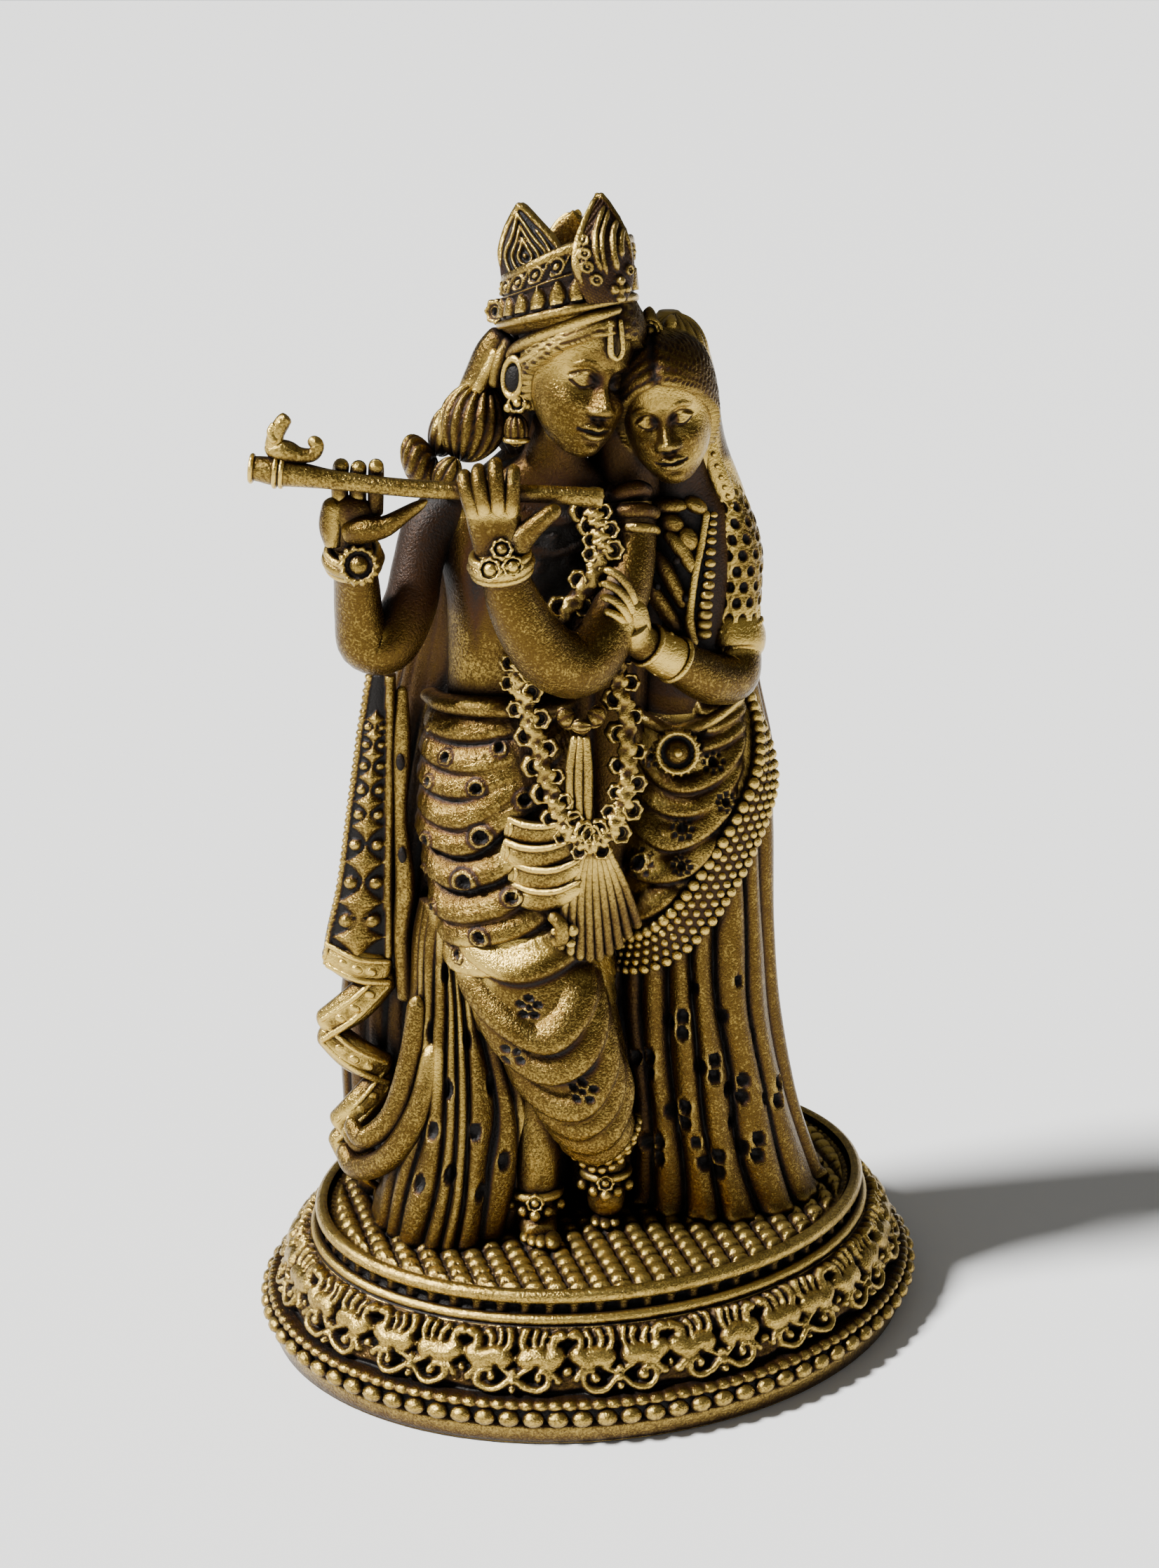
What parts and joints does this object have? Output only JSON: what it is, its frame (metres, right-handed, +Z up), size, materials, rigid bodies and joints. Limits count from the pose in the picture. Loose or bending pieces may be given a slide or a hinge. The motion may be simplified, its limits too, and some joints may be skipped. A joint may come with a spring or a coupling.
{
  "type": "radha krishna statue",
  "caption": "Cast tabletop figure group of a flute player and a companion in draped dress, standing on a moulded oval plinth, antique gold finish.",
  "frame": {"origin": "middle of the oval plinth's flat underside", "axes": "+Z up; +X along the plinth's long axis; -Y towards the front of the group, whose figures are turned about 17 degrees towards -X"},
  "size_m": [0.0926, 0.0746, 0.1497],
  "materials": {
    "antique_gold": "antique gold paint on cast resin, with a dark brown wash in the hollows"
  },
  "bodies": {
    "root": {"statue": "antique_gold"}
  },
  "joints": []
}
